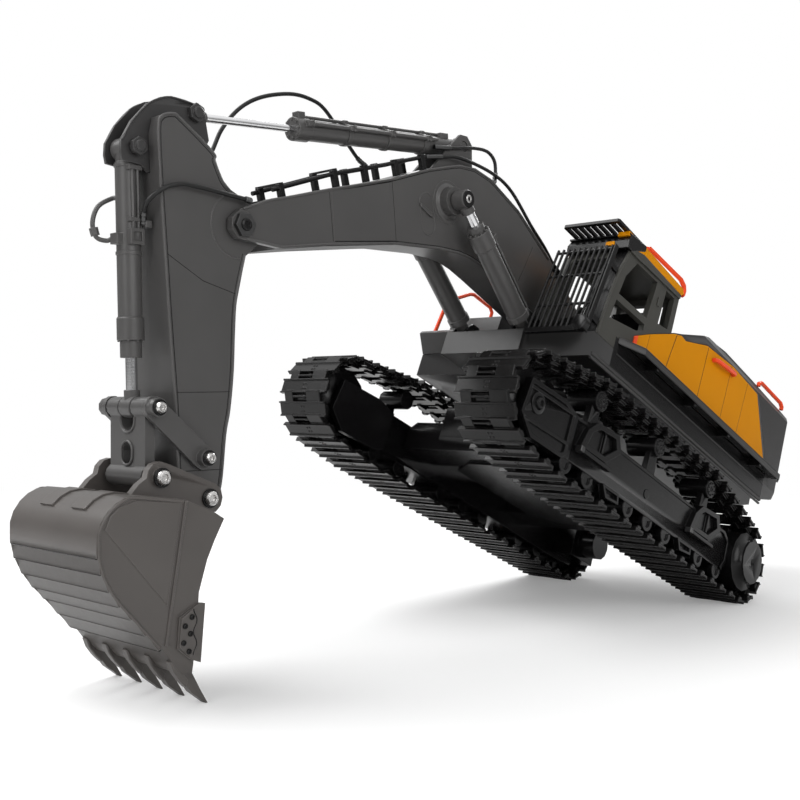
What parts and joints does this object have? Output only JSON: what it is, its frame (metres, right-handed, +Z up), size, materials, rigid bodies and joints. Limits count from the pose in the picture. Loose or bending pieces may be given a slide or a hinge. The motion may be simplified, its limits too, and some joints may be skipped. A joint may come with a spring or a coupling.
{
  "type": "toy excavator",
  "caption": "Tracked toy excavator standing on bucket teeth and track tails, with slewing house, slatted cab guard, ram-driven boom, arm and bucket linkage",
  "frame": {"origin": "centre of the overall box in plan, on the floor that the bucket teeth and the tails of the tracks stand on", "axes": "+X forward along the machine to the bucket, +Y to the machine's left, +Z up; the machine is pitched 23.3 degrees nose-up as pictured"},
  "size_m": [0.6146, 0.1938, 0.3055],
  "materials": {
    "charcoal_plastic": "satin moulded",
    "bucket_plastic": "satin moulded",
    "black_plastic": "satin moulded",
    "track_rubber": "matt moulded",
    "cab_plastic": "satin moulded",
    "body_plastic": "satin moulded",
    "yellow_plastic": "satin gloss moulded",
    "orange_plastic": "satin gloss moulded",
    "dark_steel": "blackened",
    "steel": "bright",
    "chromed_steel": "polished",
    "board_laminate": "printed board",
    "battery_wrap": "shrink wrap",
    "clear_lens": "clear moulded"
  },
  "bodies": {
    "undercarriage": {"chassis_frame": "black_plastic", "slew_ring": "dark_steel", "track_frame_left": "black_plastic", "track_frame_right": "black_plastic", "track_belt_left": "track_rubber", "track_belt_right": "track_rubber", "drive_motor_left": "black_plastic", "drive_motor_right": "black_plastic"},
    "sprocket_left": {"drive_sprocket_left": "black_plastic"},
    "sprocket_right": {"drive_sprocket_right": "black_plastic"},
    "idler_left": {"idler_wheel_left": "black_plastic"},
    "idler_right": {"idler_wheel_right": "black_plastic"},
    "house": {"house_deck": "body_plastic", "engine_hood": "body_plastic", "counterweight": "body_plastic", "cab_frame": "cab_plastic", "cab_roof": "yellow_plastic", "cab_seat": "black_plastic", "cab_console": "black_plastic", "front_guard": "black_plastic", "roof_visor": "black_plastic", "roof_rail": "orange_plastic", "work_lamp": "clear_lens", "tool_box": "body_plastic", "deck_rail": "orange_plastic", "slew_motor": "dark_steel", "battery_pack": "battery_wrap", "control_board": "board_laminate", "side_panel_left": "yellow_plastic", "side_panel_right": "yellow_plastic", "walkway_left": "body_plastic", "walkway_right": "body_plastic", "hood_handle_left": "orange_plastic", "hood_handle_right": "orange_plastic", "tail_handle_left": "orange_plastic", "tail_handle_right": "orange_plastic"},
    "boom": {"boom_shell": "charcoal_plastic", "boom_pipes": "black_plastic", "boom_foot_pin": "dark_steel", "arm_pin": "dark_steel", "boom_hose": "black_plastic", "arm_ram_hose": "black_plastic", "loop_hose": "black_plastic"},
    "boom_barrel_left": {"boom_ram_barrel_left": "charcoal_plastic"},
    "boom_barrel_right": {"boom_ram_barrel_right": "charcoal_plastic"},
    "boom_rod_left": {"boom_ram_rod_left": "chromed_steel"},
    "boom_rod_right": {"boom_ram_rod_right": "chromed_steel"},
    "arm_barrel": {"arm_ram_barrel": "charcoal_plastic"},
    "arm_rod": {"arm_ram_rod": "chromed_steel"},
    "arm": {"arm_shell": "charcoal_plastic", "arm_hose": "black_plastic", "ear_plate_left": "body_plastic", "ear_plate_right": "body_plastic"},
    "bucket_barrel": {"bucket_ram_barrel": "charcoal_plastic"},
    "bucket_rod": {"bucket_ram_rod": "chromed_steel"},
    "rocker": {"rocker_left": "charcoal_plastic", "rocker_right": "charcoal_plastic"},
    "link": {"push_link": "charcoal_plastic"},
    "bucket": {"bucket_shell": "bucket_plastic", "bucket_pin": "steel"}
  },
  "joints": [
    {"name": "slew", "type": "hinge", "parent": "undercarriage", "child": "house", "pos_m": [-0.0732, 0, 0.12876], "axis": [-0.3955, 0, 0.9184], "continuous": true},
    {"name": "boom_lift", "type": "hinge", "parent": "house", "child": "boom", "pos_m": [-0.07515, 0, 0.1889], "axis": [0, -1, 0], "range_deg": [0, 40]},
    {"name": "arm_swing", "type": "hinge", "parent": "boom", "child": "arm", "pos_m": [0.21874, 0, 0.22172], "axis": [0, 1, 0], "range_deg": [-15, 40], "deforming": ["loop_hose", "arm_hose"]},
    {"name": "bucket_curl", "type": "hinge", "parent": "arm", "child": "bucket", "pos_m": [0.23874, 0, 0.09072], "axis": [0, 1, 0], "range_deg": [-8, 95]},
    {"name": "rocker_swing", "type": "hinge", "parent": "arm", "child": "rocker", "pos_m": [0.23904, 0, 0.10952], "axis": [0, 1, 0], "range_deg": [-7.04, 83.58]},
    {"name": "link_swing", "type": "hinge", "parent": "rocker", "child": "link", "pos_m": [0.26704, 0, 0.13292], "axis": [0, 1, 0], "range_deg": [-44.99, 3.79]},
    {"name": "bucket_barrel_swing", "type": "hinge", "parent": "arm", "child": "bucket_barrel", "pos_m": [0.27214, 0, 0.25152], "axis": [0, 1, 0], "range_deg": [-3.36, 0.28]},
    {"name": "bucket_rod_stroke", "type": "slide", "parent": "bucket_barrel", "child": "bucket_rod", "axis": [-0.043, 0, -0.9991], "range_m": [-0.00413, 0.04905]},
    {"name": "arm_barrel_swing", "type": "hinge", "parent": "boom", "child": "arm_barrel", "pos_m": [0.03798, 0, 0.29532], "axis": [0, 1, 0], "range_deg": [-1.75, 4.68]},
    {"name": "arm_rod_stroke", "type": "slide", "parent": "arm_barrel", "child": "arm_rod", "axis": [0.9943, 0, -0.1067], "range_m": [-0.01308, 0.03489]},
    {"name": "boom_barrel_swing_left", "type": "hinge", "parent": "house", "child": "boom_barrel_left", "pos_m": [-0.00515, 0.024, 0.18311], "axis": [0, -1, 0], "range_deg": [0, 47.63]},
    {"name": "boom_rod_stroke_left", "type": "slide", "parent": "boom_barrel_left", "child": "boom_rod_left", "axis": [0.6509, 0, 0.7592], "range_m": [0, 0.04678]},
    {"name": "sprocket_spin_left", "type": "hinge", "parent": "undercarriage", "child": "sprocket_left", "pos_m": [-0.17595, 0.0719, 0.0292], "axis": [0, 1, 0], "continuous": true},
    {"name": "idler_spin_left", "type": "hinge", "parent": "undercarriage", "child": "idler_left", "pos_m": [0.06855, 0.0719, 0.13776], "axis": [0, 1, 0], "continuous": true},
    {"name": "boom_barrel_swing_right", "type": "hinge", "parent": "house", "child": "boom_barrel_right", "pos_m": [-0.00515, -0.024, 0.18311], "axis": [0, -1, 0], "range_deg": [0, 47.63]},
    {"name": "boom_rod_stroke_right", "type": "slide", "parent": "boom_barrel_right", "child": "boom_rod_right", "axis": [0.6509, 0, 0.7592], "range_m": [0, 0.04678]},
    {"name": "sprocket_spin_right", "type": "hinge", "parent": "undercarriage", "child": "sprocket_right", "pos_m": [-0.17595, -0.0719, 0.0292], "axis": [0, 1, 0], "continuous": true},
    {"name": "idler_spin_right", "type": "hinge", "parent": "undercarriage", "child": "idler_right", "pos_m": [0.06855, -0.0719, 0.13776], "axis": [0, 1, 0], "continuous": true}
  ],
  "couplings": [
    {"joint": "rocker_swing", "follows": "bucket_curl", "ratio": 0.8625},
    {"joint": "link_swing", "follows": "bucket_curl", "ratio": -0.4643},
    {"joint": "bucket_barrel_swing", "follows": "bucket_curl", "ratio": -0.0347},
    {"joint": "bucket_rod_stroke", "follows": "bucket_curl", "m_per_rad": 0.029},
    {"joint": "arm_barrel_swing", "follows": "arm_swing", "ratio": 0.1147},
    {"joint": "arm_rod_stroke", "follows": "arm_swing", "m_per_rad": 0.049},
    {"joint": "boom_barrel_swing_left", "follows": "boom_lift", "ratio": 1.1674},
    {"joint": "boom_rod_stroke_left", "follows": "boom_lift", "m_per_rad": 0.0657},
    {"joint": "idler_spin_left", "follows": "sprocket_spin_left", "ratio": 1},
    {"joint": "boom_barrel_swing_right", "follows": "boom_lift", "ratio": 1.1674},
    {"joint": "boom_rod_stroke_right", "follows": "boom_lift", "m_per_rad": 0.0657},
    {"joint": "idler_spin_right", "follows": "sprocket_spin_right", "ratio": 1}
  ]
}
